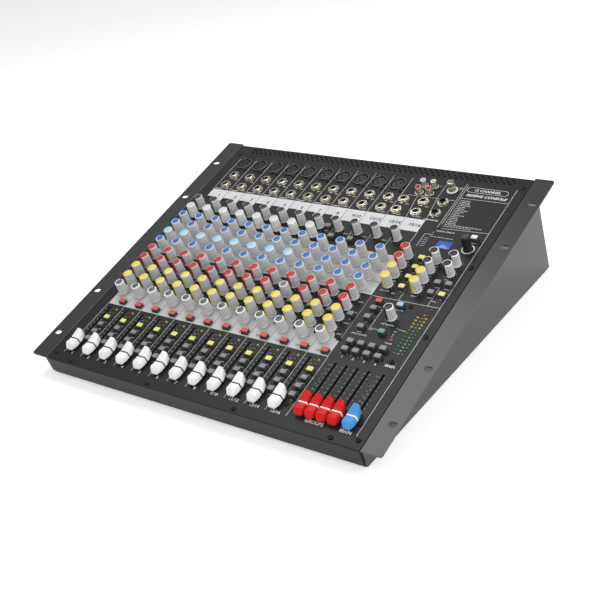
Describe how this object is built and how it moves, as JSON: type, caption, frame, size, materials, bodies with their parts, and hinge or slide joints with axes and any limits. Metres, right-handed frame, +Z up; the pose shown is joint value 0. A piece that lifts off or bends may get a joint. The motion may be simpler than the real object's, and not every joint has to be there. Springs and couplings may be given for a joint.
{
  "type": "mixing console",
  "caption": "Rack-width mixing console with a sloping control surface: sliding faders, turning knobs, push buttons, sockets and a wedge-shaped steel case.",
  "frame": {"origin": "bottom centre of the whole console, on the plane the feet stand on", "axes": "+Z up, +Y from the user towards the sockets at the back, +X to the user's right"},
  "size_m": [0.4826, 0.4448, 0.1381],
  "materials": {
    "powder_coat": "satin powder coat",
    "bare_steel": "zinc plated",
    "circuit_board": "solder mask",
    "black_plastic": "fine matt",
    "nickel": "nickel plate",
    "knob_grey": "matt ABS",
    "knob_white": "matt ABS",
    "fader_white": "satin ABS",
    "fader_red": "satin ABS",
    "fader_blue": "satin ABS",
    "button_red": "matt ABS",
    "button_yellow": "matt ABS",
    "button_grey": "matt ABS",
    "lens": "tinted clear",
    "display": "blue window",
    "copper_winding": "wrapped tape",
    "rubber": "matt"
  },
  "bodies": {
    "console": {"aux_knobs": "knob_grey", "bottom_plate": "powder_coat", "case_screws": "powder_coat", "circuit_boards": "circuit_board", "comp_knobs": "knob_white", "display_window": "display", "effect_knobs": "knob_grey", "eq_knobs": "knob_grey", "eq_sweep_knobs": "knob_grey", "fader_tracks": "bare_steel", "gain_knobs": "knob_grey", "indicator_leds": "lens", "jack_nuts": "nickel", "jack_sockets": "nickel", "lamp_socket": "nickel", "mains_inlet": "black_plastic", "mains_transformer": "copper_winding", "master_knobs": "knob_grey", "mic_sockets": "black_plastic", "pan_knobs": "knob_grey", "phono_sockets": "nickel", "potentiometers": "bare_steel", "power_board": "circuit_board", "rear_panel": "powder_coat", "rear_sockets": "black_plastic", "rubber_feet": "rubber", "side_plate_left": "powder_coat", "side_plate_right": "powder_coat", "support_frame": "bare_steel", "switch_bodies": "black_plastic", "top_panel": "powder_coat"},
    "channel_fader_01": {"channel_fader_01": "fader_white"},
    "channel_fader_02": {"channel_fader_02": "fader_white"},
    "channel_fader_03": {"channel_fader_03": "fader_white"},
    "channel_fader_04": {"channel_fader_04": "fader_white"},
    "channel_fader_05": {"channel_fader_05": "fader_white"},
    "channel_fader_06": {"channel_fader_06": "fader_white"},
    "channel_fader_07": {"channel_fader_07": "fader_white"},
    "channel_fader_08": {"channel_fader_08": "fader_white"},
    "channel_fader_09": {"channel_fader_09": "fader_white"},
    "channel_fader_10": {"channel_fader_10": "fader_white"},
    "channel_fader_11": {"channel_fader_11": "fader_white"},
    "channel_fader_12": {"channel_fader_12": "fader_white"},
    "group_fader_1": {"group_fader_1": "fader_red"},
    "group_fader_2": {"group_fader_2": "fader_red"},
    "group_fader_3": {"group_fader_3": "fader_red"},
    "group_fader_4": {"group_fader_4": "fader_red"},
    "main_fader": {"main_fader": "fader_blue"},
    "gain_knob_1": {"gain_knob_1": "knob_grey"},
    "comp_knob_1": {"comp_knob_1": "knob_white"},
    "eq_knob_1": {"eq_knob_1": "knob_grey"},
    "aux_knob_1": {"aux_knob_1": "knob_grey"},
    "effect_knob_1": {"effect_knob_1": "knob_grey"},
    "pan_knob_1": {"pan_knob_1": "knob_grey"},
    "phones_knob": {"phones_knob": "knob_grey"},
    "data_encoder": {"data_encoder": "black_plastic"},
    "mute_buttons": {"mute_buttons": "button_red"},
    "assign_buttons": {"assign_buttons": "button_yellow"},
    "route_buttons": {"route_buttons": "button_grey"},
    "power_rocker": {"power_rocker": "black_plastic"}
  },
  "joints": [
    {"name": "channel_fader_01_slide", "type": "slide", "parent": "console", "child": "channel_fader_01", "axis": [0, 0.9684, 0.2495], "range_m": [0, 0.06]},
    {"name": "channel_fader_02_slide", "type": "slide", "parent": "console", "child": "channel_fader_02", "axis": [0, 0.9684, 0.2495], "range_m": [0, 0.06]},
    {"name": "channel_fader_03_slide", "type": "slide", "parent": "console", "child": "channel_fader_03", "axis": [0, 0.9684, 0.2495], "range_m": [0, 0.06]},
    {"name": "channel_fader_04_slide", "type": "slide", "parent": "console", "child": "channel_fader_04", "axis": [0, 0.9684, 0.2495], "range_m": [0, 0.06]},
    {"name": "channel_fader_05_slide", "type": "slide", "parent": "console", "child": "channel_fader_05", "axis": [0, 0.9684, 0.2495], "range_m": [0, 0.06]},
    {"name": "channel_fader_06_slide", "type": "slide", "parent": "console", "child": "channel_fader_06", "axis": [0, 0.9684, 0.2495], "range_m": [0, 0.06]},
    {"name": "channel_fader_07_slide", "type": "slide", "parent": "console", "child": "channel_fader_07", "axis": [0, 0.9684, 0.2495], "range_m": [0, 0.06]},
    {"name": "channel_fader_08_slide", "type": "slide", "parent": "console", "child": "channel_fader_08", "axis": [0, 0.9684, 0.2495], "range_m": [0, 0.06]},
    {"name": "channel_fader_09_slide", "type": "slide", "parent": "console", "child": "channel_fader_09", "axis": [0, 0.9684, 0.2495], "range_m": [0, 0.06]},
    {"name": "channel_fader_10_slide", "type": "slide", "parent": "console", "child": "channel_fader_10", "axis": [0, 0.9684, 0.2495], "range_m": [0, 0.06]},
    {"name": "channel_fader_11_slide", "type": "slide", "parent": "console", "child": "channel_fader_11", "axis": [0, 0.9684, 0.2495], "range_m": [0, 0.06]},
    {"name": "channel_fader_12_slide", "type": "slide", "parent": "console", "child": "channel_fader_12", "axis": [0, 0.9684, 0.2495], "range_m": [0, 0.06]},
    {"name": "group_fader_1_slide", "type": "slide", "parent": "console", "child": "group_fader_1", "axis": [0, 0.9684, 0.2495], "range_m": [0, 0.06]},
    {"name": "group_fader_2_slide", "type": "slide", "parent": "console", "child": "group_fader_2", "axis": [0, 0.9684, 0.2495], "range_m": [0, 0.06]},
    {"name": "group_fader_3_slide", "type": "slide", "parent": "console", "child": "group_fader_3", "axis": [0, 0.9684, 0.2495], "range_m": [0, 0.06]},
    {"name": "group_fader_4_slide", "type": "slide", "parent": "console", "child": "group_fader_4", "axis": [0, 0.9684, 0.2495], "range_m": [0, 0.06]},
    {"name": "main_fader_slide", "type": "slide", "parent": "console", "child": "main_fader", "axis": [0, 0.9684, 0.2495], "range_m": [0, 0.06]},
    {"name": "gain_knob_1_turn", "type": "hinge", "parent": "console", "child": "gain_knob_1", "pos_m": [-0.1909, 0.05959, 0.09989], "axis": [0, 0.2495, -0.9684], "range_deg": [0, 300]},
    {"name": "comp_knob_1_turn", "type": "hinge", "parent": "console", "child": "comp_knob_1", "pos_m": [-0.1909, 0.0432, 0.09567], "axis": [0, 0.2495, -0.9684], "range_deg": [0, 300]},
    {"name": "eq_knob_1_turn", "type": "hinge", "parent": "console", "child": "eq_knob_1", "pos_m": [-0.1909, -0.02238, 0.07877], "axis": [0, 0.2495, -0.9684], "range_deg": [-150, 150]},
    {"name": "aux_knob_1_turn", "type": "hinge", "parent": "console", "child": "aux_knob_1", "pos_m": [-0.1909, -0.05517, 0.07032], "axis": [0, 0.2495, -0.9684], "range_deg": [0, 300]},
    {"name": "effect_knob_1_turn", "type": "hinge", "parent": "console", "child": "effect_knob_1", "pos_m": [-0.1909, -0.08796, 0.06187], "axis": [0, 0.2495, -0.9684], "range_deg": [0, 300]},
    {"name": "pan_knob_1_turn", "type": "hinge", "parent": "console", "child": "pan_knob_1", "pos_m": [-0.1909, -0.10435, 0.05764], "axis": [0, 0.2495, -0.9684], "range_deg": [-150, 150]},
    {"name": "phones_knob_turn", "type": "hinge", "parent": "console", "child": "phones_knob", "pos_m": [0.1613, -0.0568, 0.0699], "axis": [0, 0.2495, -0.9684], "range_deg": [0, 300]},
    {"name": "data_encoder_turn", "type": "hinge", "parent": "console", "child": "data_encoder", "pos_m": [0.1936, 0.06173, 0.10044], "axis": [0, 0.2495, -0.9684], "continuous": true},
    {"name": "mute_buttons_press", "type": "slide", "parent": "console", "child": "mute_buttons", "axis": [0, 0.2495, -0.9684], "range_m": [0, 0.0022], "stiffness_N_per_m": 400, "springref_m": -0.002},
    {"name": "assign_buttons_press", "type": "slide", "parent": "console", "child": "assign_buttons", "axis": [0, 0.2495, -0.9684], "range_m": [0, 0.0022], "stiffness_N_per_m": 400, "springref_m": -0.002},
    {"name": "route_buttons_press", "type": "slide", "parent": "console", "child": "route_buttons", "axis": [0, 0.2495, -0.9684], "range_m": [0, 0.0022], "stiffness_N_per_m": 400, "springref_m": -0.002},
    {"name": "power_rocker_tip", "type": "hinge", "parent": "console", "child": "power_rocker", "pos_m": [-0.138, 0.19688, 0.0857], "axis": [1, 0, 0], "range_deg": [0, 18]}
  ]
}
